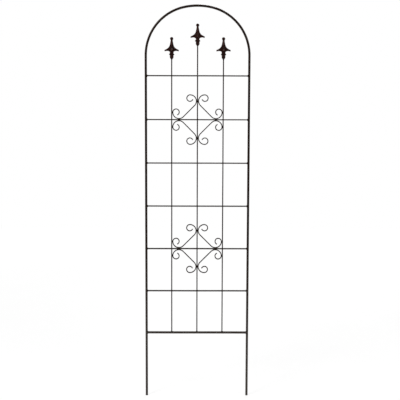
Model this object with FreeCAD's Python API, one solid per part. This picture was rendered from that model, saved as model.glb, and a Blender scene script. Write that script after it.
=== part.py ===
import FreeCAD, Part
import math
import os

# Arched garden trellis, welded from bent steel tube, punched flat bars, upright rods,
# scrolls of flat strip and cast finials.
# Millimetres. X runs from the left leg to the right leg, +Z is up, and the front faces -Y.
# The origin lies on the ground, midway between the open lower ends of the two legs.

Vector = FreeCAD.Vector
X_AXIS = Vector(1, 0, 0)
Y_AXIS = Vector(0, 1, 0)
Z_AXIS = Vector(0, 0, 1)

# Frame tube: both legs and the arch, bent from one length
leg_spacing = 475.0         # between the axes of the two legs
tube_diameter = 11.0
tube_wall = 1.0
leg_length = 305.0          # from the ground end to the axis of the bottom bar
shoulder_rise = 92.0        # from the top cross bar to where the sides start to bend
shoulder_inset = 14.5       # how much tighter a shoulder is bent than a full half circle
crown_half_turn = 12.0      # degrees of the flatter crown bend on each side of the middle

# Grid of upright rods and flat cross bars inside the frame
bar_pitch = 200.5           # from one cross bar to the next, and down to the bottom bar
row_count = 6
column_count = 4
cross_bar_thickness = 5.5   # the bars lie flat, so this is their height
cross_bar_width = 10.0      # from front to back
rod_diameter = 5.5
punched_hole_fit = 0.1      # radial clearance round a rod in a cross bar
centre_rod_rise = 137.0     # from the top cross bar to the foot of the centre finial
side_rod_rise = 76.0        # the same for the two side finials

# C-scrolls of flat strip, four to a diamond
strip_thickness = 4.6
strip_width = 7.0           # from front to back
curl_radius = 28.5          # the first and widest bend of a curl
inner_bend_shares = (0.58, 0.49, 0.54)      # the next bends of a curl, of its first
inner_bend_turns = (90.0, 90.0, 65.0)       # degrees through which they turn

# Cast finials
finial_height = 99.5
finial_span = 66.0          # from petal tip to petal tip
finial_ball_diameter = 15.0
petal_root_width = 7.0      # at the axis, narrowing to the petal's tip
petal_tip_width = 5.2
finial_foot_wall = 1.6      # metal round the socket at the finial's foot
finial_socket_depth = 12.0
finial_socket_fit = 0.05    # radial clearance round the rod in the socket

# Outline points of the finial from its foot up: each the share of its half span out from
# the axis, and the share of its height. First the turned core, then the petals that are
# cast on to it: their hollow, tip and bell are arcs, and a straight ridge runs from the
# bell to the neck below the ball.
bulb_low_shares = (0.235, 0.040)
bulb_shares = (0.270, 0.105)
bulb_neck_shares = (0.245, 0.155)
collar_edge_shares = (0.370, 0.212)
collar_neck_shares = (0.255, 0.270)
petal_root_shares = (0.290, 0.325)
spear_neck_shares = (0.146, 0.820)
petal_hollow_shares = (0.560, 0.374)
petal_lip_shares = (0.935, 0.340)
petal_tip_shares = (1.0, 0.378)
petal_crest_shares = (0.925, 0.416)
bell_middle_shares = (0.358, 0.550)
bell_top_shares = (0.222, 0.660)

# Welds. Those of the rods and scrolls are fillets on the back, out of sight.
bar_end_fillet = 2.8        # how far a cross bar's end weld climbs the leg
bar_end_fillet_share = 0.7  # of the bar's width that this weld takes up
crossing_fillet = 1.8       # at a rod, on top of a cross bar
crossing_fillet_length = 3.0
strip_fillet_length = 8.0   # along a scroll's strip where it touches a rod or a bar
ledge_fillet_share = 0.8    # of the ledge behind the strip on a bar
saddle_bead = 1.3           # thickness of the bead round a rod's foot or the bottom bar
finial_ring_height = 2.2
finial_ring_lip = 0.4       # what this ring stands out from the rod at its lower edge

# Sizes and places that follow from the values above
tube_radius = tube_diameter / 2
rod_radius = rod_diameter / 2
leg_x = leg_spacing / 2
column_pitch = leg_spacing / column_count

bottom_bar_z = leg_length
cross_bar_z = [leg_length + bar_pitch * (row_count - row) for row in range(row_count)]
shoulder_z = cross_bar_z[0] + shoulder_rise
shoulder_radius = leg_x - shoulder_inset
crown_radius = shoulder_radius + shoulder_inset / math.sin(math.radians(crown_half_turn))

rods = {
    "left": (-column_pitch, cross_bar_z[0] + side_rod_rise),
    "centre": (0.0, cross_bar_z[0] + centre_rod_rise),
    "right": (column_pitch, cross_bar_z[0] + side_rod_rise),
}
motif_z = {"upper": cross_bar_z[1], "lower": cross_bar_z[-2]}
quarters = {
    "top_left": (-1, 1),
    "top_right": (1, 1),
    "bottom_left": (-1, -1),
    "bottom_right": (1, -1),
}

# Everything lies in the frame's middle plane. A scroll touches the centre rod, an outer
# rod and a cross bar, each with the outside of a curl's first bend.
rod_gap = (rod_diameter + strip_thickness) / 2
bar_gap = (cross_bar_thickness + strip_thickness) / 2
side_weld_x = column_pitch - rod_gap - curl_radius
top_weld_z = side_weld_x + bar_gap - rod_gap


def round_bar(start, direction, length, radius):
    """A solid cylinder from a point along a direction."""
    return Part.makeCylinder(radius, length, start, direction)


def polar(centre, radius, degrees):
    """The point of a circle in the XZ plane at an angle from +X towards +Z."""
    angle = math.radians(degrees)
    return centre + Vector(radius * math.cos(angle), 0, radius * math.sin(angle))


def circle_arc(centre, radius, start, turn):
    """An edge along a circle in the XZ plane, from a start angle through a turn."""
    points = [polar(centre, radius, start + turn * part / 2) for part in range(3)]
    return Part.Arc(*points).toShape()


def frame_path():
    """The tube's axis: a leg, a shoulder bend, the crown, the other shoulder and leg."""
    shoulder_turn = 90 - crown_half_turn
    left = Vector(-leg_x + shoulder_radius, 0, shoulder_z)
    right = Vector(leg_x - shoulder_radius, 0, shoulder_z)
    crown_drop = shoulder_inset / math.tan(math.radians(crown_half_turn))
    crown = Vector(0, 0, shoulder_z - crown_drop)
    return Part.Wire([
        Part.LineSegment(Vector(-leg_x, 0, 0), Vector(-leg_x, 0, shoulder_z)).toShape(),
        circle_arc(left, shoulder_radius, 180, -shoulder_turn),
        circle_arc(crown, crown_radius, 90 + crown_half_turn, -2 * crown_half_turn),
        circle_arc(right, shoulder_radius, shoulder_turn, -shoulder_turn),
        Part.LineSegment(Vector(leg_x, 0, shoulder_z), Vector(leg_x, 0, 0)).toShape(),
    ])


def swept_bar(path, radius):
    """A round bar along the tube's path, from its first ground end to its last."""
    section = Part.Wire([Part.Circle(Vector(-leg_x, 0, 0), Z_AXIS, radius).toShape()])
    return path.makePipeShell([section], True, True)


def frame_tube():
    """The bent tube, open at both ground ends."""
    path = frame_path()
    return swept_bar(path, tube_radius).cut(swept_bar(path, tube_radius - tube_wall))


def leg_cores():
    """Both legs as full bars, which shape whatever is welded to them."""
    return [round_bar(Vector(side * leg_x, 0, 0), Z_AXIS, shoulder_z, tube_radius)
            for side in (-1, 1)]


def bottom_core(radius):
    """A round bar from one leg's axis to the other's, at the bottom bar's height."""
    return round_bar(Vector(-leg_x, 0, bottom_bar_z), X_AXIS, leg_spacing, radius)


def bottom_bar():
    """A length of the frame's tube, coped at both ends to sit round the legs."""
    bore = bottom_core(tube_radius - tube_wall)
    return bottom_core(tube_radius).cut([bore] + leg_cores())


def cross_bar(z):
    """A flat bar, coped at both ends and punched for the rods."""
    corner = Vector(-leg_x, -cross_bar_width / 2, z - cross_bar_thickness / 2)
    bar = Part.makeBox(leg_spacing, cross_bar_width, cross_bar_thickness, corner)
    holes = [round_bar(Vector(x, 0, corner.z), Z_AXIS, cross_bar_thickness,
                       rod_radius + punched_hole_fit) for x, foot_z in rods.values()]
    return bar.cut(leg_cores() + holes)


def rod_core(name):
    """An upright rod as a full bar, from the bottom bar's axis to the socket's floor."""
    x, foot_z = rods[name]
    length = foot_z + finial_socket_depth - finial_socket_fit - bottom_bar_z
    return round_bar(Vector(x, 0, bottom_bar_z), Z_AXIS, length, rod_radius)


def upright_rod(name):
    """A rod that stands on the bottom bar and runs up through the punched bars."""
    return rod_core(name).cut(bottom_core(tube_radius))


def finial_point(shares):
    """A point of the finial's outline, from its shares of the half span and the height."""
    out_share, up_share = shares
    return Vector(out_share * finial_span / 2, 0, up_share * finial_height)


def finial_core(foot_radius):
    """The turned middle of a finial: bulb, collar and slim spear with a ball."""
    ball_radius = finial_ball_diameter / 2
    ball_centre = Vector(0, 0, finial_height - ball_radius)
    neck = finial_point(spear_neck_shares)
    ball_foot_angle = -math.degrees(math.acos(neck.x / ball_radius))
    turned = [Vector(0, 0, 0), Vector(foot_radius, 0, 0)]
    turned += [finial_point(shares) for shares in (
        bulb_low_shares, bulb_shares, bulb_neck_shares, collar_edge_shares,
        collar_neck_shares, petal_root_shares, spear_neck_shares)]
    turned.append(polar(ball_centre, ball_radius, ball_foot_angle))
    edges = Part.makePolygon(turned).Edges
    edges.append(circle_arc(ball_centre, ball_radius, ball_foot_angle, 90 - ball_foot_angle))
    edges.append(Part.LineSegment(polar(ball_centre, ball_radius, 90), turned[0]).toShape())
    return Part.Face(Part.Wire(edges)).revolve(Vector(0, 0, 0), Z_AXIS, 360)


def petal_pair():
    """Two opposite petals in one blade: their outline from the side, tapered in plan."""
    edges = []
    for side in (-1, 1):
        root, hollow, lip, tip, crest, bell, top, neck = (
            Vector(side * point.x, 0, point.z) for point in map(finial_point, (
                petal_root_shares, petal_hollow_shares, petal_lip_shares, petal_tip_shares,
                petal_crest_shares, bell_middle_shares, bell_top_shares, spear_neck_shares)))
        edges += [Part.LineSegment(Vector(0, 0, root.z), root).toShape(),
                  Part.Arc(root, hollow, lip).toShape(), Part.Arc(lip, tip, crest).toShape(),
                  Part.Arc(crest, bell, top).toShape(), Part.LineSegment(top, neck).toShape(),
                  Part.LineSegment(neck, Vector(0, 0, neck.z)).toShape()]
    outline = Part.Face(Part.Wire(Part.sortEdges(edges)[0]))
    blade = outline.extrude(Y_AXIS * petal_root_width)
    blade.translate(Y_AXIS * (-petal_root_width / 2))
    root, far = petal_root_width / 2, petal_tip_width - petal_root_width / 2
    plan = Part.Face(Part.makePolygon([
        Vector(0, root, 0), Vector(finial_span, far, 0), Vector(finial_span, -far, 0),
        Vector(0, -root, 0), Vector(-finial_span, -far, 0), Vector(-finial_span, far, 0),
        Vector(0, root, 0)]))
    return blade.common(plan.extrude(Z_AXIS * finial_height))


def finial(name):
    """A turned spear with four petals and a ball, and a socket for its rod in its foot."""
    core = finial_core(rod_radius + finial_socket_fit + finial_foot_wall)
    along_x, along_y = petal_pair(), petal_pair()
    along_y.rotate(Vector(0, 0, 0), Z_AXIS, 90)
    socket = round_bar(Vector(0, 0, 0), Z_AXIS, finial_socket_depth,
                       rod_radius + finial_socket_fit)
    cast = core.fuse([along_x, along_y]).removeSplitter().cut(socket)
    x, foot_z = rods[name]
    cast.translate(Vector(x, 0, foot_z))
    return cast


def curl(centre, turn_side):
    """One curl from the straight diagonal inwards, as (centre, radius, start, turn) bends.

    The first bend turns 45 degrees from the diagonal to the weld, then 90 degrees more.
    The centre of each next bend lies on the line from the last centre to the last end, so
    that the strip runs on with no kink.
    """
    bends = [(centre, curl_radius, -45, turn_side * 135)]
    for share, turn in zip(inner_bend_shares, inner_bend_turns):
        centre, radius, start, last_turn = bends[-1]
        angle = start + last_turn
        next_radius = share * curl_radius
        next_centre = polar(centre, radius - next_radius, angle)
        bends.append((next_centre, next_radius, angle, turn_side * turn))
    return bends


def scroll_side(inset):
    """One long side of the strip of the top left scroll, for a diamond round the origin.

    The inset is how far this side lies inside the strip's middle line, towards the
    centres of the bends.
    """
    top = Vector(-rod_gap - curl_radius, 0, top_weld_z)
    side = Vector(-side_weld_x, 0, bar_gap + curl_radius)
    inwards = [circle_arc(centre, radius - inset, start, turn)
               for centre, radius, start, turn in curl(top, 1)]
    outwards = [circle_arc(centre, radius - inset, start + turn, -turn)
                for centre, radius, start, turn in reversed(curl(side, -1))]
    straight = Part.LineSegment(polar(side, curl_radius - inset, -45),
                                polar(top, curl_radius - inset, -45))
    return outwards + [straight.toShape()] + inwards


def scroll(side, up, centre_z):
    """One C-scroll of a diamond: a strip bent in two curls, turned into its quarter."""
    outer = Part.Wire(scroll_side(-strip_thickness / 2))
    inner = Part.Wire(scroll_side(strip_thickness / 2))
    ends = [Part.LineSegment(outer.OrderedVertexes[end].Point,
                             inner.OrderedVertexes[end].Point).toShape() for end in (0, -1)]
    outline = Part.Wire(Part.sortEdges(outer.Edges + inner.Edges + ends)[0])
    if side > 0:
        outline = outline.mirror(Vector(0, 0, 0), X_AXIS)
    if up < 0:
        outline = outline.mirror(Vector(0, 0, 0), Z_AXIS)
    strip = Part.Face(outline).extrude(Y_AXIS * strip_width)
    strip.translate(Vector(0, -strip_width / 2, centre_z))
    return strip


def fillet(corner, first, second, along, joined):
    """A weld in a corner: a triangle between two directions, run along a third."""
    start = corner - along / 2
    outline = Part.makePolygon([start, start + first, start + second, start])
    run = Part.Face(outline).extrude(along)
    return run.cut(joined) if joined else run


def saddle_weld(crossed_start, crossed_axis, stub_start, stub_axis, stub_radius):
    """The bead where a round bar's coped end sits on a tube that crosses it.

    Both are thought thicker by the bead. What these share, less the two bars themselves,
    is the bead.
    """
    reach = tube_diameter + saddle_bead
    crossed_start = crossed_start - crossed_axis * (reach / 2)
    thick_tube = round_bar(crossed_start, crossed_axis, reach, tube_radius + saddle_bead)
    thick_stub = round_bar(stub_start, stub_axis, reach, stub_radius + saddle_bead)
    return thick_tube.common(thick_stub).cut([
        round_bar(crossed_start, crossed_axis, reach, tube_radius),
        round_bar(stub_start, stub_axis, reach, stub_radius),
    ])


def frame_welds(legs):
    """The fillets over and under the cross bars' ends, and the bottom bar's beads."""
    welds = []
    length = bar_end_fillet_share * cross_bar_width
    depth = tube_radius - math.sqrt(tube_radius ** 2 - (length / 2) ** 2)
    for side, leg in zip((-1, 1), legs):
        corner_x = side * (leg_x - tube_radius + depth)
        inwards = X_AXIS * (-side * (bar_end_fillet + depth))
        for z in cross_bar_z:
            for up in (-1, 1):
                corner = Vector(corner_x, 0, z + up * cross_bar_thickness / 2)
                climb = Z_AXIS * (up * (bar_end_fillet + depth))
                welds.append(fillet(corner, inwards, climb, Y_AXIS * length, [leg]))
        joint = Vector(side * leg_x, 0, bottom_bar_z)
        welds.append(saddle_weld(joint, Z_AXIS, joint, X_AXIS * -side, tube_radius))
    return welds


def rod_foot_welds():
    """The beads where the rods stand on the bottom bar."""
    feet = [Vector(x, 0, bottom_bar_z) for x, foot_z in rods.values()]
    return [saddle_weld(foot, X_AXIS, foot, Z_AXIS, rod_radius) for foot in feet]


def crossing_welds():
    """The fillets behind the rods, on top of the punched bars."""
    reach = rod_radius + crossing_fillet
    along = X_AXIS * crossing_fillet_length
    welds = []
    for name, (x, foot_z) in rods.items():
        for z in cross_bar_z:
            corner = Vector(x, 0, z + cross_bar_thickness / 2)
            welds.append(fillet(corner, Y_AXIS * reach, Z_AXIS * reach, along,
                                [rod_core(name)]))
    return welds


def finial_welds():
    """The ring of weld under each finial, from its foot down to the rod."""
    rings = []
    foot_radius = rod_radius + finial_socket_fit + finial_foot_wall
    for name, (x, foot_z) in rods.items():
        base = Vector(x, 0, foot_z - finial_ring_height)
        cone = Part.makeCone(rod_radius + finial_ring_lip, foot_radius,
                             finial_ring_height, base, Z_AXIS)
        rings.append(cone.cut(rod_core(name)))
    return rings


def rod_fillet(rod_x, rod, strip_side, z, strip):
    """The weld behind a rod in the corner that a scroll's strip makes with it.

    The strip stands on the rod's left or right, as its side sign says. The fillet starts
    inside the strip and runs from half way up the rod's back to the strip's back edge.
    """
    bite = strip_thickness / 4
    corner = Vector(rod_x + strip_side * (rod_radius + bite), rod_radius / 2, z)
    back = Y_AXIS * (strip_width / 2 - corner.y)
    to_rod = X_AXIS * (-strip_side * (rod_radius + bite))
    return fillet(corner, back, to_rod, Z_AXIS * strip_fillet_length, [rod, strip])


def scroll_welds(centre_z, scrolls):
    """The welds of one diamond, whose scrolls are given by their side and height signs."""
    welds = []
    throat = ledge_fillet_share * (cross_bar_width - strip_width) / 2
    for (side, up), strip in scrolls.items():
        top_z = centre_z + up * top_weld_z
        side_z = centre_z + up * (bar_gap + curl_radius)
        outer_name = "left" if side < 0 else "right"
        outer_rod, centre_rod = rod_core(outer_name), rod_core("centre")
        welds.append(rod_fillet(0, centre_rod, side, top_z, strip))
        welds.append(rod_fillet(rods[outer_name][0], outer_rod, -side, side_z, strip))
        on_bar = Vector(side * side_weld_x, strip_width / 2,
                        centre_z + up * cross_bar_thickness / 2)
        welds.append(fillet(on_bar, Y_AXIS * throat, Z_AXIS * (up * throat),
                            X_AXIS * strip_fillet_length, []))
    return welds


def build():
    """Every piece of the trellis by name."""
    pieces = {"frame_tube": frame_tube(), "bottom_bar": bottom_bar()}
    for row, z in enumerate(cross_bar_z):
        pieces["cross_bar_%d" % (row + 1)] = cross_bar(z)
    for name in rods:
        pieces["rod_" + name] = upright_rod(name)
        pieces["finial_" + name] = finial(name)
    for motif, centre_z in motif_z.items():
        scrolls = {}
        for quarter, (side, up) in quarters.items():
            scrolls[side, up] = scroll(side, up, centre_z)
            pieces["%s_scroll_%s" % (motif, quarter)] = scrolls[side, up]
        welds = scroll_welds(centre_z, scrolls)
        pieces["%s_scroll_welds" % motif] = Part.makeCompound(welds)
    pieces["frame_welds"] = Part.makeCompound(frame_welds(leg_cores()))
    pieces["rod_foot_welds"] = Part.makeCompound(rod_foot_welds())
    pieces["crossing_welds"] = Part.makeCompound(crossing_welds())
    pieces["finial_welds"] = Part.makeCompound(finial_welds())
    return pieces


os.makedirs("parts", exist_ok=True)
for node, shape in build().items():
    shape.exportStep("parts/%s.step" % node)
    print("%-28s solids %2d  valid %s  volume %9.1f mm3"
          % (node, len(shape.Solids), shape.isValid(), shape.Volume))
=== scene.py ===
import math

import bmesh
import bpy
import numpy as np
from mathutils import Matrix, Vector


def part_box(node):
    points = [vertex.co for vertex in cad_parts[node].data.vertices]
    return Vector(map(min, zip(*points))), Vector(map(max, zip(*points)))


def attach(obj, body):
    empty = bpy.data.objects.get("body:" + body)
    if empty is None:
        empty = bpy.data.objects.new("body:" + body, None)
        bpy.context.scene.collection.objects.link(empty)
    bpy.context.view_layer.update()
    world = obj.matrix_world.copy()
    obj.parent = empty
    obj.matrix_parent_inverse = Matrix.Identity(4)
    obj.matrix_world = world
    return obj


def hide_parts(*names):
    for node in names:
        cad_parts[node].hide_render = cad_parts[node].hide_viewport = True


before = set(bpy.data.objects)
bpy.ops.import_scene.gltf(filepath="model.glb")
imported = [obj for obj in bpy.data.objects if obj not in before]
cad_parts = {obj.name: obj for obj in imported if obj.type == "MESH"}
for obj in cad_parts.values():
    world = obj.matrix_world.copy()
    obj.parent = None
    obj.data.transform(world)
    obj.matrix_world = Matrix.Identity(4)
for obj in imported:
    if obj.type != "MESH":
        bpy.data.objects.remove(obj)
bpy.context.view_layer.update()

# Garden trellis: bent tube frame, punched flat bars, upright rods, strip scrolls and cast
# finials, all in one dark satin powder coat. Metres; the front faces -Y.

MM = 0.001

# Sizes read from the frame


def middle(node):
    """The middle of a CAD node's box."""
    low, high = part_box(node)
    return (low + high) / 2


tube_low, tube_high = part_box("frame_tube")
tube_radius = (tube_high.y - tube_low.y) / 2
leg_x = tube_high.x - tube_radius
bottom_bar_z = middle("bottom_bar").z

cross_bars = ["cross_bar_%d" % row for row in range(1, 7)]
bar_z = [middle(name).z for name in cross_bars]
bar_low, bar_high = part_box("cross_bar_1")
bar_width = bar_high.y - bar_low.y
bar_thickness = bar_high.z - bar_low.z

rod_names = ["left", "centre", "right"]
rod_x = {name: middle("rod_" + name).x for name in rod_names}
rod_low, rod_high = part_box("rod_left")
rod_radius = (rod_high.x - rod_low.x) / 2
column_pitch = rod_x["right"]

finial_foot_z = {name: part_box("finial_" + name)[0].z for name in rod_names}
finial_low, finial_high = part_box("finial_centre")
finial_height = finial_high.z - finial_low.z
finial_span = finial_high.x - finial_low.x

strip_low, strip_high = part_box("upper_scroll_top_left")
strip_width = strip_high.y - strip_low.y
motif_z = {"upper": bar_z[1], "lower": bar_z[4]}
quarters = {"top_left": (-1, 1), "top_right": (1, 1),
            "bottom_left": (-1, -1), "bottom_right": (1, -1)}

# Sizes of the tube, bars and rods

tube_wall = 1.0 * MM
tube_lip = 0.25 * tube_wall      # how much the cut ends of the tube are rounded
shoulder_rise = 92.0 * MM
shoulder_inset = 14.5 * MM
crown_half_turn = math.radians(12.0)
shoulder_z = bar_z[0] + shoulder_rise
shoulder_radius = leg_x - shoulder_inset
crown_radius = shoulder_radius + shoulder_inset / math.sin(crown_half_turn)

bar_corner = 0.8 * MM
punch_swell = 0.55 * MM          # how far a bar bulges front and back round a rod's hole
punch_swell_reach = 5.5 * MM
bar_wear = 0.75                  # on a bar's edges, with punch_wear more at the holes
punch_wear = 0.5
wall_bite = 0.5 * MM             # how far an end runs into the piece that it is welded to
rod_end_in_socket = 4.0 * MM
rod_bow = 0.15 * MM              # the most by which a straight piece strays from its line
bow_waves = ((0.62, 9.1, 1.7), (0.38, 23.0, 4.1))    # share, radians per metre and per seed

# Sizes of the scrolls

strip_thickness = 4.6 * MM
strip_corner = 1.1 * MM
strip_end_round = 0.7 * MM
strip_end_wear = 1.5             # how many of those rounds the wear reaches in from the end
curl_radius = 28.5 * MM
curl_start = math.radians(-45)   # where on its circle a curl leaves the diamond's side
outer_bend_turn = 135.0
inner_bend_shares = (0.54, 0.50, 0.50)
inner_bend_turns = (90.0, 90.0, 70.0)
rod_gap = rod_radius + strip_thickness / 2
bar_gap = (bar_thickness + strip_thickness) / 2
side_curl_x = column_pitch - rod_gap - curl_radius
side_curl_z = bar_gap + curl_radius
top_curl_x = rod_gap + curl_radius
top_curl_z = side_curl_x + bar_gap - rod_gap

# Outline points of the finial: share of half the span, share of the height

turned_shares = ((0.133, 0.0), (0.235, 0.040), (0.270, 0.105), (0.245, 0.155),
                 (0.395, 0.214), (0.252, 0.270), (0.290, 0.325))
spear_neck_shares = (0.146, 0.820)
hollow_shares = ((0.290, 0.325), (0.560, 0.371), (0.935, 0.345))
tip_shares = ((0.935, 0.345), (1.0, 0.384), (0.925, 0.423))
bell_shares = ((0.925, 0.423), (0.378, 0.550), (0.242, 0.660))

# Other sizes of the finial

finial_scale = np.array([finial_span / 2, finial_height])
neck_r, neck_z = np.array(spear_neck_shares) * finial_scale
petal_root_width = 7.0 * MM
petal_tip_width = 5.2 * MM
petal_tip_share = 0.8            # where a petal's tip begins, for its wear, which also paints a highlight there, and the seam
petal_tip_blend = 0.6 * MM       # over this much of the radius, a flank turns into the tip's arc
petal_crowding = 1.5
ball_radius = 7.5 * MM
foot_softening = 2               # how many times the outline is averaged: the foot by itself,
row_softening = 3                # all rows from the foot to the ball,
round_softening = 2              # and all angles round the axis
seam_height = 0.14 * MM          # the line where the two halves of the mould met
seam_width = 0.35 * MM

# Sizes of the weld beads, how far their middles stand off the faces, and how they swell

bar_bead = {"length": 7.6 * MM, "radius": 2.2 * MM}
crossing_bead = {"length": 4.4 * MM, "radius": 1.4 * MM, "ripples": 2}
rod_curl_bead = {"length": 8.6 * MM, "radius": 1.25 * MM, "ripples": 5}
bar_curl_bead = {"length": 8.0 * MM, "radius": 0.9 * MM, "ripples": 5}
bar_bead_inset = 0.3 * MM
bar_bead_lift = 0.2 * MM
crossing_bead_back = 0.4 * MM
crossing_bead_lift = 0.35 * MM
rod_curl_bead_out = 0.1 * MM
rod_curl_bead_back = 2.2 * MM
bar_curl_bead_lift = 0.15 * MM
lump_bluntness = 0.7
lump_swell = 0.08
lump_bulge = 0.06
leg_ring = 1.2 * MM
rod_foot_ring = 1.15 * MM
ring_swell = 0.09
ring_out_share = 0.3
ring_lift_share = 0.25
ring_lowest_share = 0.2          # of the crossed tube's radius, where a ring reaches past it
finial_ring = 1.0 * MM
finial_ring_out = 0.6 * MM
finial_ring_drop = 0.7 * MM
finial_ring_height_share = 1.2
finial_ring_swell = 0.1
bead_wear = 0.3

# How finely the surfaces are divided

straight_step = 12 * MM
arch_step = 4 * MM
bottom_bar_step = 6 * MM
bar_step = 2.5 * MM
strip_step = 1.6 * MM
strip_end_rows = 7
tube_sides = 40
rod_sides = 24
petal_sides = 44
finial_rows = {"foot": 90, "hollow": 29, "wall": 26, "bell": 53, "neck": 5, "ball": 29}
ridge_points = 29
arc_points = 60
bead_rows = 13
bead_sides = 14
ring_sides = 12
ring_rows_per_ripple = 4
same_point = 0.002 * MM          # points nearer to each other than this become one
crease = 50                      # faces that meet at more than this, in degrees, keep an edge
cast_crease = 75

# Surfaces


def grid_quads(rows, columns, wrap_rows):
    """Quads between the neighbours of a grid of points whose columns close on themselves."""
    first = np.arange(rows if wrap_rows else rows - 1)
    row, column = np.meshgrid(first, np.arange(columns), indexing="ij")
    next_row, next_column = (row + 1) % rows, (column + 1) % columns
    corners = [row * columns + column, row * columns + next_column,
               next_row * columns + next_column, next_row * columns + column]
    return np.stack(corners, axis=-1).reshape(-1, 4)


def pole_fan(ring, pole):
    """Triangles from a pole to each pair of neighbours of a closed ring."""
    return np.stack([np.full(len(ring), pole), ring, np.roll(ring, -1)], axis=-1)


def shell(points, wear=0.0, wrap_rows=False):
    """A closed surface from a grid of points (rows, columns, 3).

    The columns close on themselves. The rows either do too, or each end is closed by a fan
    to the middle of its ring. The faces are turned so that the enclosed volume, the sum of
    a . (b x c) over the triangles, is positive. The wear value of a point is 0 on a plain
    face, as in the middle of an end, and 1 on an edge that rubs bare first.
    """
    rows, columns, _ = points.shape
    flat, wear = points.reshape(-1, 3), np.broadcast_to(wear, (rows, columns)).reshape(-1)
    quads = grid_quads(rows, columns, wrap_rows)
    fans = np.zeros((0, 3), int)
    if not wrap_rows:
        first, last = np.arange(columns), np.arange(columns) + (rows - 1) * columns
        flat = np.vstack([flat, points[0].mean(0), points[-1].mean(0)])
        wear = np.append(wear, [0.0, 0.0])
        fans = np.vstack([pole_fan(first[::-1], rows * columns),
                          pole_fan(last, rows * columns + 1)])
    triangles = np.vstack([quads[:, (0, 1, 2)], quads[:, (0, 2, 3)], fans])
    a, b, c = (flat[triangles[:, corner]] for corner in range(3))
    if np.einsum("ij,ij->", a, np.cross(b, c)) < 0:
        quads, fans = quads[:, ::-1], fans[:, ::-1]
    return flat, quads, fans, wear


def piece(name, shells, material, edge=crease):
    """One object from several shells, which replaces its CAD node and rides on the body.

    Points that lie on each other, as where a finial's rows meet in its flutes, are merged.
    """
    points, faces, wear, start = [], [], [], 0
    for flat, quads, fans, rub in shells:
        points.append(flat)
        wear.append(rub)
        faces += (quads + start).tolist() + (fans + start).tolist()
        start += len(flat)
    mesh = bpy.data.meshes.new(name)
    mesh.from_pydata(np.vstack(points).tolist(), [], faces)
    layer = mesh.attributes.new("wear", "FLOAT", "POINT")
    layer.data.foreach_set("value", np.concatenate(wear).astype(np.float32))
    merged = bmesh.new()
    merged.from_mesh(mesh)
    bmesh.ops.remove_doubles(merged, verts=merged.verts, dist=same_point)
    merged.to_mesh(mesh)
    merged.free()
    mesh.polygons.foreach_set("use_smooth", np.ones(len(mesh.polygons), bool))
    mesh.set_sharp_from_angle(angle=math.radians(edge))
    mesh.materials.append(material)
    mesh.update()
    made = bpy.data.objects.new(name + "_visual", mesh)
    bpy.context.scene.collection.objects.link(made)
    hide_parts(name)
    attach(made, "root")
    return made


def even_turn(count):
    """Even angles once round, from 0."""
    return np.linspace(0, 2 * math.pi, count, endpoint=False)


def even_steps(count):
    """Even shares up to 1 that leave out 0, as a column."""
    return np.linspace(0, 1, count + 1)[1:, None]


def round_section(radius, count):
    """A circle as (across, depth) offsets: radius times (cos, sin) of count even angles."""
    angle = even_turn(count)
    return radius * np.stack([np.cos(angle), np.sin(angle)], axis=-1)


def flat_section(thickness, width, corner, per_corner=5):
    """A rectangle with rounded corners: its (across, depth) offsets, outward ways and wear.

    Each corner is a quarter circle of the corner's radius round a point that lies that
    radius inside both sides. The wear is 1 in the middle of a corner and 0 at its ends.
    """
    turn = np.linspace(0, math.pi / 2, per_corner)
    signs = np.array([(1, 1), (-1, 1), (-1, -1), (1, -1)])
    angle = turn[None, :] + np.arange(4)[:, None] * math.pi / 2
    centre = signs * np.array([thickness / 2 - corner, width / 2 - corner])
    outward = np.stack([np.cos(angle), np.sin(angle)], axis=-1)
    wear = np.tile(np.sin(2 * turn), 4)
    return (centre[:, None, :] + corner * outward).reshape(-1, 2), outward.reshape(-1, 2), wear


def carried(path, across, section):
    """A section carried along a path in the XZ plane.

    Each point is path + a * across + d * Y, where (a, d) is the section's offset and
    across the unit vector in the plane at right angles to the path.
    """
    depth = np.array([0.0, 1.0, 0.0])
    return (path[:, None, :] + section[None, :, 0, None] * across[:, None, :]
            + section[None, :, 1, None] * depth)


def bend(centre, radius, start, turn, spacing, fewest=5):
    """Points and outward directions along a circle arc in the XZ plane, angles in radians."""
    count = max(int(abs(turn) * abs(radius) / spacing) + 2, fewest)
    angle = start + np.linspace(0, turn, count)
    out = np.stack([np.cos(angle), np.zeros(count), np.sin(angle)], axis=-1)
    return centre + radius * out, out


def run(start, end, out, spacing, fewest=3):
    """Points along a straight stretch, all with the same outward direction."""
    start, end = np.asarray(start, float), np.asarray(end, float)
    count = max(int(np.linalg.norm(end - start) / spacing) + 2, fewest)
    share = np.linspace(0, 1, count)[:, None]
    return start + share * (end - start), np.tile(np.asarray(out, float), (count, 1))


def joined(stretches):
    """One path from stretches that each start where the last one ends."""
    path = np.vstack([points[min(index, 1):] for index, (points, out) in enumerate(stretches)])
    across = np.vstack([out[min(index, 1):] for index, (points, out) in enumerate(stretches)])
    return path, across


def bow(place, seed):
    """A slow drift along a piece, up to rod_bow: the sum of share * sin(rate * place + phase)."""
    return rod_bow * sum(share * np.sin(place * rate + seed * phase)
                         for share, rate, phase in bow_waves)


def length_along(path):
    """The length of a path from its start to each of its points."""
    return np.concatenate([[0], np.cumsum(np.linalg.norm(np.diff(path, axis=0), axis=1))])


# Frame tube and bottom bar


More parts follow.
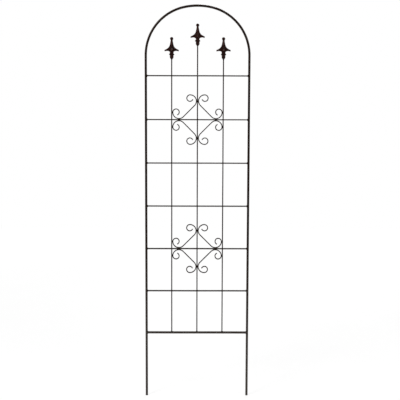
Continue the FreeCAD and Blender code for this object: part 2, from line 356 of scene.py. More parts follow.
def frame_path():
    """The tube's axis from the left ground end over the arch to the right ground end.

    It is three arcs between two straight legs: a shoulder, the flatter crown and the other
    shoulder. The crown's centre lies lower, so that it meets the shoulders with no kink.
    """
    shoulder_turn = math.pi / 2 - crown_half_turn
    crown_drop = shoulder_inset / math.tan(crown_half_turn)
    left = np.array([-leg_x + shoulder_radius, 0, shoulder_z])
    right = left * [-1, 1, 1]
    crown = np.array([0, 0, shoulder_z - crown_drop])
    return joined([
        run((-leg_x, 0, 0), (-leg_x, 0, shoulder_z), (-1, 0, 0), straight_step),
        bend(left, shoulder_radius, math.pi, -shoulder_turn, arch_step),
        bend(crown, crown_radius, math.pi / 2 + crown_half_turn, -2 * crown_half_turn, arch_step),
        bend(right, shoulder_radius, shoulder_turn, -shoulder_turn, arch_step),
        run((leg_x, 0, shoulder_z), (leg_x, 0, 0), (1, 0, 0), straight_step),
    ])


def frame_tube(material):
    """Outer wall up one leg and down the other, then the bore back again, in one grid.

    Each end is rounded in to a lip at the cut face, as a coated saw cut is. The lips and the
    rows beside them carry the wear.
    """
    path, across = frame_path()
    outer = carried(path, across, round_section(tube_radius, tube_sides))
    inner = carried(path, across, round_section(tube_radius - tube_wall, tube_sides))[::-1]
    lip = carried(path, across, round_section(tube_radius - tube_lip, tube_sides))
    outer[[0, -1], :, 2] += tube_lip
    grid = np.concatenate([lip[:1], outer, lip[-1:], inner])
    far_lip = len(outer) + 1
    wear = np.zeros(len(grid))
    wear[[-1, 0, 1, far_lip - 1, far_lip, far_lip + 1]] = 1.0
    return piece("frame_tube", [shell(grid, wear[:, None], wrap_rows=True)], material)


def coped_end(depth, radius):
    """How far from the middle a bar's end lies so that it sits on a leg of that radius.

    It is leg_x - sqrt(radius^2 - depth^2), with the root held at zero beside the leg.
    """
    return leg_x - np.sqrt(np.maximum(radius ** 2 - depth ** 2, 0))


def coped_bar(section, z, seed, spacing):
    """A section carried along X whose ends follow the round of both legs.

    At a share s from -1 to 1, x is s times the coped end, and the bow counts (1 - s^2).
    """
    share = np.linspace(-1, 1, int(2 * leg_x / spacing))[:, None]
    end = coped_end(section[:, 1], tube_radius - wall_bite)
    x = share * end
    drift = bow(x, seed) * (1 - share ** 2)
    return np.stack([x, np.broadcast_to(section[:, 1], x.shape),
                     z + section[:, 0] + drift], axis=-1)


def bottom_bar(material):
    """The same tube between the legs, closed inside their walls."""
    grid = coped_bar(round_section(tube_radius, tube_sides), bottom_bar_z, 0.0, bottom_bar_step)
    return piece("bottom_bar", [shell(grid)], material)


# Grid


def cross_bar(name, z, seed, material):
    """A flat bar that bulges front and back where it is punched for the rods.

    Its depth is scaled by 1 + swell * exp(-((x - rod) / reach)^2), summed over the rods.
    """
    section, _, wear = flat_section(bar_thickness, bar_width, bar_corner)
    grid = coped_bar(section, z, seed, bar_step)
    near = sum(np.exp(-((grid[:, :, 0] - x) / punch_swell_reach) ** 2) for x in rod_x.values())
    grid[:, :, 1] *= 1 + punch_swell / (bar_width / 2) * near
    rub = np.clip(wear * (bar_wear + punch_wear * near), 0, 1)
    return piece(name, [shell(grid, rub)], material)


def upright_rod(name, seed, material):
    """A round rod from inside the bottom bar up into its finial's socket.

    At a share s of its length, the bow counts 4 s (1 - s).
    """
    x, top = rod_x[name], finial_foot_z[name] + rod_end_in_socket
    path, across = run((x, 0, bottom_bar_z), (x, 0, top), (1, 0, 0), straight_step)
    share = np.linspace(0, 1, len(path))
    path[:, 0] += bow(path[:, 2], seed) * 4 * share * (1 - share)
    grid = carried(path, across, round_section(rod_radius, rod_sides))
    return piece("rod_" + name, [shell(grid)], material)


# Scrolls


def curl(centre, turn_side):
    """Bends of one curl from the diagonal inwards, each as (centre, radius, start, turn).

    Each next centre lies on the line from the last centre to the last end, at the last
    radius less the next, so that the strip runs on with no kink.
    """
    bends = [(centre, curl_radius, curl_start, turn_side * math.radians(outer_bend_turn))]
    for share, turn in zip(inner_bend_shares, inner_bend_turns):
        centre, radius, start, last_turn = bends[-1]
        angle, next_radius = start + last_turn, share * curl_radius
        out = np.array([math.cos(angle), 0, math.sin(angle)])
        bends.append((centre + (radius - next_radius) * out, next_radius, angle,
                      turn_side * math.radians(turn)))
    return bends


def scroll_path():
    """The middle line of the top left scroll of a diamond round the origin."""
    top = np.array([-top_curl_x, 0, top_curl_z])
    side = np.array([-side_curl_x, 0, side_curl_z])
    inwards = [bend(*each, strip_step) for each in curl(top, 1)]
    outwards = [bend(centre, radius, start + turn, -turn, strip_step)
                for centre, radius, start, turn in reversed(curl(side, -1))]
    out = np.array([math.cos(curl_start), 0, math.sin(curl_start)])
    straight = run(side + curl_radius * out, top + curl_radius * out, out, strip_step)
    return joined(outwards + [straight] + inwards)


def fine_ends(path, across, reach):
    """The same path with more rows within reach of either end, and its length so far.

    Their distances from the end are reach * (1 - cos t) for even t up to a right angle.
    """
    along = length_along(path)
    near = reach * (1 - np.cos(np.linspace(0, math.pi / 2, strip_end_rows)))
    rows = np.unique(np.concatenate([along, near, along[-1] - near]))
    path, across = (np.stack([np.interp(rows, along, each[:, axis]) for axis in range(3)], -1)
                    for each in (path, across))
    return path, across, rows


def scroll(motif, quarter, material):
    """A strip with rounded edges, mirrored into its quarter.

    Its sheared ends are soft under the coat: over the last round's radius, the section
    draws in all round by radius * (1 - sqrt(1 - (1 - distance / radius)^2)).
    """
    side, up = quarters[quarter]
    path, across, along = fine_ends(*scroll_path(), strip_end_round)
    section, outward, wear = flat_section(strip_thickness, strip_width, strip_corner)
    from_end = np.minimum(along, along[-1] - along) / strip_end_round
    drawn_in = strip_end_round * (1 - np.sqrt(1 - (1 - np.clip(from_end, 0, 1)) ** 2))
    grid = (carried(path, across, section)
            - drawn_in[:, None, None] * carried(np.zeros_like(path), across, outward))
    grid = grid * np.array([-side, 1, up]) + np.array([0, 0, motif_z[motif]])
    rub = np.clip(wear + (from_end < strip_end_wear)[:, None], 0, 1)
    return piece("%s_scroll_%s" % (motif, quarter), [shell(grid, rub)], material)


# Finials


def arc_through(shares):
    """Points (r, z) of the finial's outline along the circle through three of its points.

    The centre solves |p - a| = |p - b| = |p - c|, two linear equations.
    """
    a, b, c = np.array(shares) * finial_scale
    left = 2 * np.array([b - a, c - a])
    centre = np.linalg.solve(left, [b @ b - a @ a, c @ c - a @ a])
    angles = np.unwrap([math.atan2(*(p - centre)[::-1]) for p in (a, b, c)])
    angle = np.linspace(angles[0], angles[2], arc_points)
    radius = np.linalg.norm(a - centre)
    return centre + radius * np.stack([np.cos(angle), np.sin(angle)], axis=-1)


def softened(values, times, axis):
    """Values averaged 1:2:1 with their neighbours, several times over.

    Along axis 0, the rows, the first and the last stay as they are.
    """
    for _ in range(times):
        before, after = np.roll(values, 1, axis), np.roll(values, -1, axis)
        averaged = (before + 2 * values + after) / 4
        if axis == 0:
            averaged[[0, -1]] = values[[0, -1]]
        values = averaged
    return values


def finial_angles():
    """Angles round a finial, and how far each lies from the middle of its petal.

    For even shares s from -1 to 1 of an eighth of a turn, the angle from the middle is
    that eighth times |s|^crowding, so the angles crowd where the petal is thin.
    """
    share = np.linspace(-1, 1, petal_sides, endpoint=False)
    from_petal = math.pi / 4 * np.sign(share) * np.abs(share) ** petal_crowding
    angle = (np.arange(4)[:, None] * math.pi / 2 + from_petal[None, :]).ravel()
    return angle, np.abs(np.tile(from_petal, 4))


def turned_foot():
    """The finial's foot as (r, z): the turned outline in even steps, a little softened."""
    turned = np.array(turned_shares) * finial_scale
    along = length_along(turned)
    even = np.linspace(0, along[-1], finial_rows["foot"])
    foot = np.stack([np.interp(even, along, turned[:, 0]),
                     np.interp(even, along, turned[:, 1])], axis=-1)
    return softened(foot, foot_softening, 0)


def neck_and_ball():
    """The finial's top as (r, z): a straight neck, and the ball that sits on it."""
    low_angle = -math.acos(neck_r / ball_radius)
    turn = np.linspace(low_angle, math.pi / 2, finial_rows["ball"] + 1)[:-1]
    ball = np.stack([ball_radius * np.cos(turn),
                     finial_height - ball_radius + ball_radius * np.sin(turn)], axis=-1)
    neck_rows = finial_rows["neck"]
    neck = np.stack([np.full(neck_rows, neck_r),
                     np.linspace(neck_z, ball[0, 1], neck_rows + 2)[1:-1]], axis=-1)
    return np.vstack([neck, ball])


def towards_tip(r):
    """0 up to where the petals' tips begin, and 1 at their ends."""
    half = finial_span / 2
    return np.clip((r - petal_tip_share * half) / ((1 - petal_tip_share) * half), 0, 1)


def finial_outline(from_petal):
    """The finial as a grid (r, z) of height rows by angles, and its wear, also a painted tip
    highlight.

    At an angle t from a petal's middle, the petal's straight flank is reached at the radius
    w / (sin t + k cos t), where w and k follow from the petal's widths. Rows run up the
    turned foot, out along the petal's hollow to that radius, up its flank or round its tip,
    back along the bell, and up the spear to the ball. In the flutes the core's cone is the
    larger radius and takes over. Averaging along the rows and round the axis rounds the
    edges as a sand casting has them.
    """
    taper = (petal_root_width - petal_tip_width) / finial_span
    flank = petal_root_width / 2 / (np.sin(from_petal) + taper * np.cos(from_petal))
    hollow, tip, bell = (arc_through(shares)
                         for shares in (hollow_shares, tip_shares, bell_shares))
    root_r, root_z = hollow[0]
    bell = np.vstack([bell, bell[-1] + even_steps(ridge_points) * ([neck_r, neck_z] - bell[-1])])

    def core(z):
        return np.interp(z, [root_z, neck_z], [root_r, neck_r])

    def hollow_z(r):
        return np.interp(r, hollow[:, 0], hollow[:, 1])

    def bell_z(r):
        return np.interp(r, bell[::-1, 0], bell[::-1, 1])

    reach = np.clip(flank, root_r, hollow[-1, 0])
    out_r = root_r + (reach - root_r) * even_steps(finial_rows["hollow"])
    hollow_rows = np.stack([out_r, hollow_z(out_r)], axis=-1)

    top_r = np.clip(flank, bell[-1, 0], bell[0, 0])
    share = np.linspace(0, 1, finial_rows["wall"])[:, None]
    wall_z = hollow_z(reach) + (bell_z(top_r) - hollow_z(reach)) * share
    wall_r = np.maximum(np.minimum(flank, reach), core(wall_z))
    tip_r, tip_z = (np.interp(share, np.linspace(0, 1, arc_points), tip[:, axis])
                    for axis in range(2))
    at_tip = np.clip((flank - hollow[-1, 0]) / petal_tip_blend, 0, 1)
    wall_rows = np.stack([wall_r + (tip_r - wall_r) * at_tip,
                          wall_z + (tip_z - wall_z) * at_tip], axis=-1)

    back_r = top_r + (bell[-1, 0] - top_r) * even_steps(finial_rows["bell"])
    back_z = bell_z(back_r)
    bell_rows = np.stack([np.maximum(back_r, core(back_z)), back_z], axis=-1)

    foot_rows, top_rows = (np.repeat(part[:, None, :], len(from_petal), axis=1)
                           for part in (turned_foot(), neck_and_ball()))
    outline = np.concatenate([foot_rows, hollow_rows, wall_rows, bell_rows, top_rows])
    outline = softened(softened(outline, row_softening, 0), round_softening, 1)
    petals = slice(len(foot_rows), len(foot_rows) + len(hollow_rows) + len(wall_rows))
    # Wear on the petals' tips, which also paints the highlight that the tips catch
    wear = np.zeros(outline.shape[:2])
    wear[petals] = towards_tip(outline[petals, :, 0])
    return outline, wear


def finial(name, material):
    """A cast spear: a turned core that four petals flare out of, under a ball.

    A mould seam, height * exp(-(y / width)^2), runs up both sides and fades out at the
    petals' tips and the ball's top.
    """
    angle, from_petal = finial_angles()
    outline, wear = finial_outline(from_petal)
    r, z = outline[..., 0], outline[..., 1] + finial_foot_z[name]
    seam = seam_height * np.exp(-(r * np.sin(angle) / seam_width) ** 2)
    r = r + seam * np.clip(r / neck_r, 0, 1) * (1 - towards_tip(r))
    grid = np.stack([rod_x[name] + r * np.cos(angle), r * np.sin(angle), z], axis=-1)
    return piece("finial_" + name, [shell(grid, wear)], material, cast_crease)


# Welds


def bead(centre, along, length, radius, seed, ripples=4):
    """A lump of weld: an ellipsoid whose girth swells and shrinks with each ripple.

    With u from 0 to pi along it, the girth is radius * sin(u)^bluntness times
    1 + swell cos(2 ripples u + seed) and, at v round it, 1 + bulge sin(3 v + 2.3 seed).
    """
    u = np.linspace(0, math.pi, bead_rows + 2)[1:-1, None]
    v = even_turn(bead_sides)
    along = np.array(along, float)
    first = np.cross(along, [0.0, 0.0, 1.0] if abs(along[2]) < 0.5 else [1.0, 0.0, 0.0])
    first /= np.linalg.norm(first)
    second = np.cross(along, first)
    girth = radius * np.sin(u) ** lump_bluntness
    girth = girth * (1 + lump_swell * np.cos(2 * ripples * u + seed))
    girth = girth * (1 + lump_bulge * np.sin(3 * v + seed * 2.3))
    grid = (np.array(centre) - np.cos(u)[..., None] * along * length / 2
            + (girth * np.cos(v))[..., None] * first + (girth * np.sin(v))[..., None] * second)
    return shell(grid, bead_wear)


def saddle_bead(centre, stub, crossed, stub_radius, crossed_radius, radius, seed, ripples=26):
    """A ring of weld where a round stub sits on a round tube that crosses it.

    The ring's middle line is a circle a little wider than the stub, lifted along the stub
    to just over the tube's surface, sqrt(R^2 - s^2) at a distance s from the tube's middle
    plane. At a turn t its thickness is radius * (1 + swell cos(ripples t + seed)).
    """
    centre, stub, crossed = (np.array(each, float) for each in (centre, stub, crossed))
    third = np.cross(stub, crossed)
    turn = even_turn(ring_rows_per_ripple * ripples)
    ring = stub_radius + ring_out_share * radius
    side = ring * np.sin(turn)
    lowest = ring_lowest_share * crossed_radius
    rise = np.sqrt(np.maximum(crossed_radius ** 2 - side ** 2, lowest ** 2))
    rise += ring_lift_share * radius
    flat = np.cos(turn)[:, None] * crossed + np.sin(turn)[:, None] * third
    line = centre + ring * flat + rise[:, None] * stub
    girth = radius * (1 + ring_swell * np.cos(ripples * turn + seed))
    around = even_turn(ring_sides)
    grid = (line[:, None, :] + (girth[:, None] * np.cos(around))[..., None] * flat[:, None, :]
            + (girth[:, None] * np.sin(around))[..., None] * stub)
    return shell(grid, bead_wear, wrap_rows=True)


def frame_welds(material):
    """Beads over and under both ends of every cross bar, and rings on the bottom bar."""
    shells = []
    x = leg_x - tube_radius - bar_bead_inset
    off_middle = bar_thickness / 2 + bar_bead_lift
    for side in (-1, 1):
        for row, z in enumerate(bar_z):
            for up in (-1, 1):
                shells.append(bead((side * x, 0, z + up * off_middle), (0, 1, 0),
                                   seed=row * 1.3 + up + side * 0.7, **bar_bead))
        shells.append(saddle_bead((side * leg_x, 0, bottom_bar_z), (-side, 0, 0), (0, 0, 1),
                                  tube_radius, tube_radius, leg_ring, seed=side))
    return piece("frame_welds", shells, material)


def rod_foot_welds(material):
    """A ring of weld round each rod's foot on the bottom bar."""
    shells = [saddle_bead((rod_x[name], 0, bottom_bar_z), (0, 0, 1), (1, 0, 0),
                          rod_radius, tube_radius, rod_foot_ring, seed=index)
              for index, name in enumerate(rod_names)]
    return piece("rod_foot_welds", shells, material)


def crossing_welds(material):
    """A short bead behind each rod on top of every cross bar."""
    y = rod_radius + crossing_bead_back
    off_middle = bar_thickness / 2 + crossing_bead_lift
    shells = [bead((rod_x[name], y, z + off_middle), (1, 0, 0), seed=row + 2.0 * index,
                   **crossing_bead)
              for index, name in enumerate(rod_names) for row, z in enumerate(bar_z)]
    return piece("crossing_welds", shells, material)


def finial_welds(material, ripples=15):
    """A ring of weld under each finial: a torus round the rod, higher than it is thick.

    At a turn t its thickness is the ring's radius * (1 + swell cos(ripples t + index)).
    """
    shells = []
    turn = even_turn(ring_rows_per_ripple * ripples)[:, None]
    around = even_turn(ring_sides)
    for index, name in enumerate(rod_names):
        girth = finial_ring * (1 + finial_ring_swell * np.cos(ripples * turn + index))
        height = finial_ring_height_share * girth
        r = rod_radius + finial_ring_out + girth * np.cos(around)
        z = finial_foot_z[name] - finial_ring_drop + height * np.sin(around)
        grid = np.stack([rod_x[name] + r * np.cos(turn), r * np.sin(turn), z], axis=-1)
        shells.append(shell(grid, bead_wear, wrap_rows=True))
    return piece("finial_welds", shells, material)


def scroll_welds(motif, material):
    """Beads behind the rods and bars where the curls of one diamond touch them."""
    shells = []
    z = motif_z[motif]
    rod_side = rod_radius + rod_curl_bead_out
    bar_side = bar_thickness / 2 + bar_curl_bead_lift
    bar_back = strip_width / 2 + bar_curl_bead_lift
    for index, (side, up) in enumerate(quarters.values()):
        shells += [bead((side * rod_side, rod_curl_bead_back, z + up * top_curl_z),
                        (0, 0, 1), seed=index, **rod_curl_bead),
                   bead((side * (column_pitch - rod_side), rod_curl_bead_back,
                         z + up * side_curl_z),
                        (0, 0, 1), seed=index + 2, **rod_curl_bead),
                   bead((side * side_curl_x, bar_back, z + up * bar_side),
                        (1, 0, 0), seed=index + 4, **bar_curl_bead)]
    return piece("%s_scroll_welds" % motif, shells, material)


# Shader nodes


def feed(socket, value):
    """Link an input socket to another socket, or set it to a fixed value."""
    if isinstance(value, bpy.types.NodeSocket):
        socket.id_data.links.new(value, socket)
    else:
        socket.default_value = value


def noise(tree, place, scale, detail, roughness=0.5):
    """The value of a noise texture at a place, between 0 and 1."""
    made = tree.nodes.new("ShaderNodeTexNoise")
    feed(made.inputs["Vector"], place)
    feed(made.inputs["Scale"], scale)
    feed(made.inputs["Detail"], detail)
    feed(made.inputs["Roughness"], roughness)
    return made.outputs["Fac"]


def maths(tree, operation, *values):
    """The result of a Math node whose inputs are sockets or numbers."""
    made = tree.nodes.new("ShaderNodeMath")
    made.operation = operation
    for socket, value in zip(made.inputs, values):
        feed(socket, value)
    return made.outputs[0]


def mixed(tree, share, first, second):
    """A colour mix of two colours, each a socket or a fixed value."""
    made = tree.nodes.new("ShaderNodeMix")
    made.data_type = "RGBA"
    feed(made.inputs["Factor"], share)
    feed(made.inputs["A"], first)
    feed(made.inputs["B"], second)
    return made.outputs["Result"]


def between(tree, value, low, high, start=0.0, end=1.0, kind="SMOOTHSTEP"):
    """A value spread from start at low to end at high, smoothly or evenly."""
    made = tree.nodes.new("ShaderNodeMapRange")
    made.interpolation_type = kind
    feed(made.inputs["Value"], value)
    feed(made.inputs["From Min"], low)
    feed(made.inputs["From Max"], high)
    feed(made.inputs["To Min"], start)
    feed(made.inputs["To Max"], end)
    return made.outputs["Result"]


def object_place(tree):
    """Object coordinates, which are metres in the trellis's own frame."""
    return tree.nodes.new("ShaderNodeTexCoord").outputs["Object"]


def upward_part(tree, vector):
    """The Z part of a vector."""
    made = tree.nodes.new("ShaderNodeSeparateXYZ")
    feed(made.inputs["Vector"], vector)
    return made.outputs["Z"]


# Shared shader effects

COLOUR, NUMBER, VECTOR = "NodeSocketColor", "NodeSocketFloat", "NodeSocketVector"
patch_share = 0.7                # how far the broad patches alone go towards the paler tone
# Painted light: the coats pale towards the ground for the light that the white floor throws up
floor_light_reach = 0.9               # how far up the painted light from the floor fades out, in metres
floor_light_haze = 0.7                  # what the painted floor light is made of: an even haze, patches and spots
floor_light_patches = 0.25
floor_light_spots = 0.55
skin_depth = 0.6 * MM
skin_strength = 0.5


def new_group(name, inputs, output, kind):
    """An empty shader node group with named sockets.

    It comes as the tree, the sockets of its inputs and the socket of its one output.
    """
    tree = bpy.data.node_groups.new(name, "ShaderNodeTree")
    for label, input_kind, value in inputs:
        socket = tree.interface.new_socket(name=label, in_out="INPUT", socket_type=input_kind)
        socket.default_value = value
    tree.interface.new_socket(name=output, in_out="OUTPUT", socket_type=kind)
    given = tree.nodes.new("NodeGroupInput").outputs
    return tree, given, tree.nodes.new("NodeGroupOutput").inputs[output]


def coat_tone_group():
    """Coat colour that drifts between two tones in broad patches with a fine speckle."""
    tree, given, out = new_group("coat_tone", [("Tone", COLOUR, (0.02, 0.015, 0.012, 1)),
                                               ("Paler tone", COLOUR, (0.03, 0.024, 0.02, 1)),
                                               ("Speckle", NUMBER, 0.3)], "Color", COLOUR)
    place = object_place(tree)
    patches = between(tree, noise(tree, place, scale=14, detail=3), low=0.35, high=0.68)
    grains = between(tree, noise(tree, place, scale=900, detail=2), low=0.5, high=0.75)
    share = maths(tree, "ADD", maths(tree, "MULTIPLY", patches, patch_share),
                  maths(tree, "MULTIPLY", grains, given["Speckle"]))
    feed(out, mixed(tree, share, given["Tone"], given["Paler tone"]))
    return tree


def coat_skin_group():
    """Normal of a sprayed and baked coat: shallow orange peel over a finer grain."""
    tree, given, out = new_group("coat_skin", [("Peel size", NUMBER, 420.0),
                                               ("Peel depth", NUMBER, 0.25),
                                               ("Grain depth", NUMBER, 0.1)], "Normal", VECTOR)
    place = object_place(tree)
    peel = noise(tree, place, scale=given["Peel size"], detail=1)
    grain = noise(tree, place, scale=2600, detail=1)
    height = maths(tree, "ADD", maths(tree, "MULTIPLY", peel, given["Peel depth"]),
                   maths(tree, "MULTIPLY", grain, given["Grain depth"]))
    bump = tree.nodes.new("ShaderNodeBump")
    feed(bump.inputs["Height"], height)
    feed(bump.inputs["Distance"], skin_depth)
    feed(bump.inputs["Strength"], skin_strength)
    feed(out, bump.outputs["Normal"])
    return tree


def worn_edge_group():
    """A mask of rubbed edges: the piece's wear attribute, in a few stretches, with chips."""
    tree, given, out = new_group("worn_edge", [("Amount", NUMBER, 0.5)], "Mask", NUMBER)
    place = object_place(tree)
    edge = tree.nodes.new("ShaderNodeAttribute")
    edge.attribute_name = "wear"
    chips = between(tree, noise(tree, place, scale=260, detail=5, roughness=0.7),
                    low=0.36, high=0.72)
    stretches = between(tree, noise(tree, place, scale=21, detail=2), low=0.38, high=0.60)
    rubbed = maths(tree, "MULTIPLY", maths(tree, "POWER", edge.outputs["Fac"], 2.0),
                   maths(tree, "MULTIPLY", stretches, chips))
    feed(out, maths(tree, "MULTIPLY", rubbed, given["Amount"]))
    return tree


def dust_and_floor_light_group():
    """A mask of dust patches on faces that look up, and of painted light that fades out upwards.

    The painted light stands for the light that the white floor throws up onto the lower parts:
    spots over a thin haze, full at the ground and gone at the reach set above.
    """
    tree, given, out = new_group("dust_and_floor_light_mask", [("Amount", NUMBER, 0.2),
                                                  ("Splash", NUMBER, 0.3)], "Mask", NUMBER)
    place = object_place(tree)
    normal = tree.nodes.new("ShaderNodeNewGeometry").outputs["Normal"]
    upward = between(tree, upward_part(tree, normal), low=0.25, high=0.95)
    patches = between(tree, noise(tree, place, scale=60, detail=4), low=0.35, high=0.7)
    settled = maths(tree, "MULTIPLY", maths(tree, "MULTIPLY", upward, patches),
                    given["Amount"])
    # Painted light from the floor: full at the ground, gone at its reach
    faded = between(tree, upward_part(tree, place), low=0.0, high=floor_light_reach)
    floor_light_falloff = maths(tree, "SUBTRACT", 1.0, faded)
    spots = between(tree, noise(tree, place, scale=520, detail=3, roughness=0.6),
                    low=0.5, high=0.66)
    floor_light_texture = maths(tree, "ADD", maths(tree, "MULTIPLY", spots, floor_light_spots),
                    maths(tree, "ADD", maths(tree, "MULTIPLY", patches, floor_light_patches), floor_light_haze))
    painted_floor_light = maths(tree, "MULTIPLY", maths(tree, "MULTIPLY", floor_light_falloff, floor_light_texture),
                     given["Splash"])
    feed(out, maths(tree, "ADD", settled, painted_floor_light))
    return tree


# Materials

# The grey of dust, also the colour of the painted floor light near the ground
dust_and_floor_light_colour = (0.12, 0.108, 0.098, 1)
dust_and_floor_light_dulls = 0.2                 # how much rougher full dust and the painted floor light make a coat
gloss_drift = 0.16               # how far the roughness drifts in all, round its middle
brown_gloss = (1.0, 0.74, 0.62, 1)
red_gloss = (1.0, 0.52, 0.44, 1)
coat_tone = coat_tone_group()
coat_skin = coat_skin_group()
worn_edge = worn_edge_group()
dust_and_floor_light_mask = dust_and_floor_light_group()


def placed_group(tree, group, **values):
    """What a group puts out with its own values; underscores stand for spaces in names."""
    made = tree.nodes.new("ShaderNodeGroup")
    made.node_tree = group
    for label, value in values.items():
        made.inputs[label.replace("_", " ")].default_value = value
    return made.outputs[0]


def coat(name, tone, paler, speckle, rough, peel_size, peel_depth, grain_depth, wear, dust,
         floor_light, undercoat, specular, gloss_tint=brown_gloss):
    """A coated metal: drifting tone, rubbed edges, a little dust, painted floor light low down,
    and a bumpy skin.
    """
    material = bpy.data.materials.new(name)
    material.use_nodes = True
    tree = material.node_tree
    shader = tree.nodes["Principled BSDF"].inputs
    colour = placed_group(tree, coat_tone, Tone=tone, Paler_tone=paler, Speckle=speckle)
    rubbed = placed_group(tree, worn_edge, Amount=wear)
    dust_and_floor_light = placed_group(tree, dust_and_floor_light_mask, Amount=dust, Splash=floor_light)
    clean = mixed(tree, rubbed, colour, undercoat)
    # Dust and the painted light from the floor pale the coat towards dust grey
    feed(shader["Base Color"], mixed(tree, dust_and_floor_light, clean, dust_and_floor_light_colour))
    drift = noise(tree, object_place(tree), scale=35, detail=3)
    gloss = maths(tree, "MULTIPLY_ADD", drift, gloss_drift, rough - gloss_drift / 2)
    dulled = maths(tree, "MULTIPLY", dust_and_floor_light, dust_and_floor_light_dulls)
    feed(shader["Roughness"], maths(tree, "ADD", gloss, dulled))
    skin = placed_group(tree, coat_skin, Peel_size=peel_size, Peel_depth=peel_depth,
                        Grain_depth=grain_depth)
    feed(shader["Normal"], skin)
    shader["Metallic"].default_value = 0.0
    shader["Specular IOR Level"].default_value = specular
    shader["Specular Tint"].default_value = gloss_tint
    return material


# In each coat, the splash value sets how much painted floor light pales it near the ground
frame_coat = coat("frame_coat", tone=(0.0056, 0.0028, 0.0019, 1),
                  paler=(0.0100, 0.0062, 0.0047, 1), speckle=0.3, rough=0.29,
                  peel_size=380.0, peel_depth=0.35, grain_depth=0.10, wear=0.5, dust=0.06,
                  floor_light=0.32, undercoat=(0.11, 0.088, 0.076, 1), specular=0.10)
grid_coat = coat("grid_coat", tone=(0.0052, 0.0027, 0.0019, 1),
                 paler=(0.0090, 0.0056, 0.0043, 1), speckle=0.3, rough=0.31,
                 peel_size=460.0, peel_depth=0.32, grain_depth=0.10, wear=0.5, dust=0.06,
                 floor_light=0.14, undercoat=(0.07, 0.056, 0.050, 1), specular=0.09)
scroll_coat = coat("scroll_coat", tone=(0.0050, 0.0026, 0.0018, 1),
                   paler=(0.0086, 0.0054, 0.0042, 1), speckle=0.3, rough=0.31,
                   peel_size=460.0, peel_depth=0.32, grain_depth=0.10, wear=0.5, dust=0.05,
                   floor_light=0.14, undercoat=(0.07, 0.056, 0.050, 1), specular=0.09)
weld_coat = coat("weld_coat", tone=(0.0050, 0.0031, 0.0024, 1),
                 paler=(0.0084, 0.0058, 0.0047, 1), speckle=0.4, rough=0.42,
                 peel_size=700.0, peel_depth=0.45, grain_depth=0.25, wear=0.2, dust=0.08,
                 floor_light=0.26, undercoat=(0.05, 0.042, 0.038, 1), specular=0.09)
# The finial's rubbed tips show a pale undercoat, which also paints the highlight that the front
# petal's tip catches
finial_coat = coat("finial_coat", tone=(0.0056, 0.0014, 0.0010, 1),
                   paler=(0.0190, 0.0066, 0.0054, 1), speckle=0.5, rough=0.28,
                   peel_size=300.0, peel_depth=0.6, grain_depth=0.35, wear=0.9, dust=0.07,
                   floor_light=0.22, undercoat=(0.120, 0.070, 0.060, 1), specular=0.09,
                   gloss_tint=red_gloss)

# The trellis

frame_tube(frame_coat)
bottom_bar(frame_coat)
for row, (name, z) in enumerate(zip(cross_bars, bar_z)):
    cross_bar(name, z, row * 2.1, grid_coat)
for index, name in enumerate(rod_names):
    upright_rod(name, index * 3.3, grid_coat)
    finial(name, finial_coat)
for motif in motif_z:
    for quarter in quarters:
        scroll(motif, quarter, scroll_coat)
    scroll_welds(motif, weld_coat)
frame_welds(weld_coat)
rod_foot_welds(weld_coat)
crossing_welds(weld_coat)
finial_welds(weld_coat)

# Floor, light and camera

WHITE = (1, 1, 1, 1)
floor_size = 12.0
floor_grey = 0.86
floor_grain = 0.01               # how far the grey drifts up and down
floor_seen_grey = 0.30
floor_glow = 0.715
floor_rim_glow = 0.885
floor_glow_reach = 0.8
room_level = 0.38
camera_place = Vector((-8.6, -3711.7, 1294.1)) * MM
camera_yaw, camera_pitch, camera_roll = (math.radians(turn) for turn in (0.334, 5.525, 0.179))
camera_lens = 72.0
camera_sensor = 36.0
camera_reach = 60.0


def seen_or_mirrored(tree):
    """1 for rays from the camera, from gloss and through glass; 0 for those that only light."""
    rays = tree.nodes.new("ShaderNodeLightPath").outputs
    direct = maths(tree, "MAXIMUM", rays["Is Camera Ray"], rays["Is Glossy Ray"])
    return maths(tree, "MAXIMUM", direct, rays["Is Transmission Ray"])


def floor_white():
    """A matt pale floor that also glows a little for the camera and for gloss.

    To them, the matt part is darker and the glow makes up for it, so that the lit floor is
    just white and a shadow on it still shows. The glow grows towards the rim, where less
    light falls, so that no horizon shows against the white behind.
    """
    material = bpy.data.materials.new("floor_white")
    material.use_nodes = True
    tree = material.node_tree
    tree.nodes.remove(tree.nodes["Principled BSDF"])
    place = object_place(tree)
    seen = seen_or_mirrored(tree)
    grain = between(tree, noise(tree, place, scale=3, detail=3), 0.0, 1.0,
                    floor_grey - floor_grain, floor_grey + floor_grain, kind="LINEAR")
    darker = maths(tree, "MULTIPLY", seen, floor_grey - floor_seen_grey)
    matt = tree.nodes.new("ShaderNodeBsdfDiffuse")
    feed(matt.inputs["Color"], maths(tree, "SUBTRACT", grain, darker))
    far = tree.nodes.new("ShaderNodeVectorMath")
    far.operation = "LENGTH"
    feed(far.inputs[0], place)
    level = between(tree, far.outputs["Value"], floor_glow_reach, floor_size / 2,
                    floor_glow, floor_rim_glow)
    glow = tree.nodes.new("ShaderNodeEmission")
    feed(glow.inputs["Strength"], maths(tree, "MULTIPLY", seen, level))
    both = tree.nodes.new("ShaderNodeAddShader")
    feed(both.inputs[0], matt.outputs[0])
    feed(both.inputs[1], glow.outputs[0])
    feed(tree.nodes["Material Output"].inputs["Surface"], both.outputs[0])
    return material


def make_floor():
    """A flat pale floor under the legs."""
    half = floor_size / 2
    corners = [(-half, -half, 0), (half, -half, 0), (half, half, 0), (-half, half, 0)]
    mesh = bpy.data.meshes.new("floor")
    mesh.from_pydata(corners, [], [(0, 1, 2, 3)])
    mesh.materials.append(floor_white())
    made = bpy.data.objects.new("floor", mesh)
    bpy.context.scene.collection.objects.link(made)


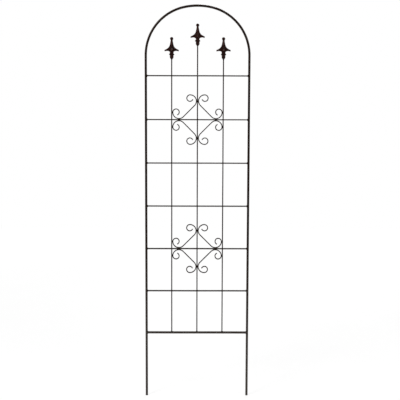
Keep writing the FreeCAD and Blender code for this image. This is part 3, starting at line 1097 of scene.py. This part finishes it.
def make_world():
    """White to the camera and to gloss; a plain soft grey for the light itself."""
    world = bpy.data.worlds.new("studio")
    world.use_nodes = True
    tree = world.node_tree
    seen, lit = tree.nodes["Background"], tree.nodes.new("ShaderNodeBackground")
    for background, strength in ((seen, 1.0), (lit, room_level)):
        feed(background.inputs["Color"], WHITE)
        feed(background.inputs["Strength"], strength)
    blend = tree.nodes.new("ShaderNodeMixShader")
    feed(blend.inputs["Fac"], seen_or_mirrored(tree))
    feed(blend.inputs[1], lit.outputs[0])
    feed(blend.inputs[2], seen.outputs[0])
    feed(tree.nodes["World Output"].inputs["Surface"], blend.outputs[0])
    bpy.context.scene.world = world


def make_lamp(name, place, target_z, size, power):
    """A square softbox that faces a point on the trellis's middle line."""
    data = bpy.data.lights.new(name, "AREA")
    data.size = size
    data.energy = power
    made = bpy.data.objects.new(name, data)
    place = Vector(place)
    way = Vector((0, 0, target_z)) - place
    turned = way.to_track_quat("-Z", "Y").to_matrix().to_4x4()
    made.matrix_world = Matrix.Translation(place) @ turned
    bpy.context.scene.collection.objects.link(made)


def make_camera():
    """The photograph's camera: its place, and its axes from yaw, pitch and roll."""
    data = bpy.data.cameras.new("camera")
    data.lens = camera_lens
    data.sensor_width = camera_sensor
    data.clip_end = camera_reach
    made = bpy.data.objects.new("camera", data)
    forward = Vector((math.sin(camera_yaw) * math.cos(camera_pitch),
                      math.cos(camera_yaw) * math.cos(camera_pitch), -math.sin(camera_pitch)))
    level = Vector((math.cos(camera_yaw), -math.sin(camera_yaw), 0))
    upward = level.cross(forward)
    right = math.cos(camera_roll) * level + math.sin(camera_roll) * upward
    up = math.cos(camera_roll) * upward - math.sin(camera_roll) * level
    turned = Matrix((right, up, -forward)).transposed().to_4x4()
    made.matrix_world = Matrix.Translation(camera_place) @ turned
    bpy.context.scene.collection.objects.link(made)
    bpy.context.scene.camera = made


make_floor()
make_world()
make_lamp("key_softbox", place=(-2.2, -2.6, 3.4), target_z=1.0, size=1.2, power=115)
make_lamp("fill_softbox", place=(2.6, -2.4, 2.4), target_z=0.9, size=1.4, power=40)
make_lamp("back_softbox", place=(0.6, 2.6, 3.2), target_z=1.0, size=1.2, power=45)
make_camera()
bpy.context.scene.view_settings.view_transform = "Standard"
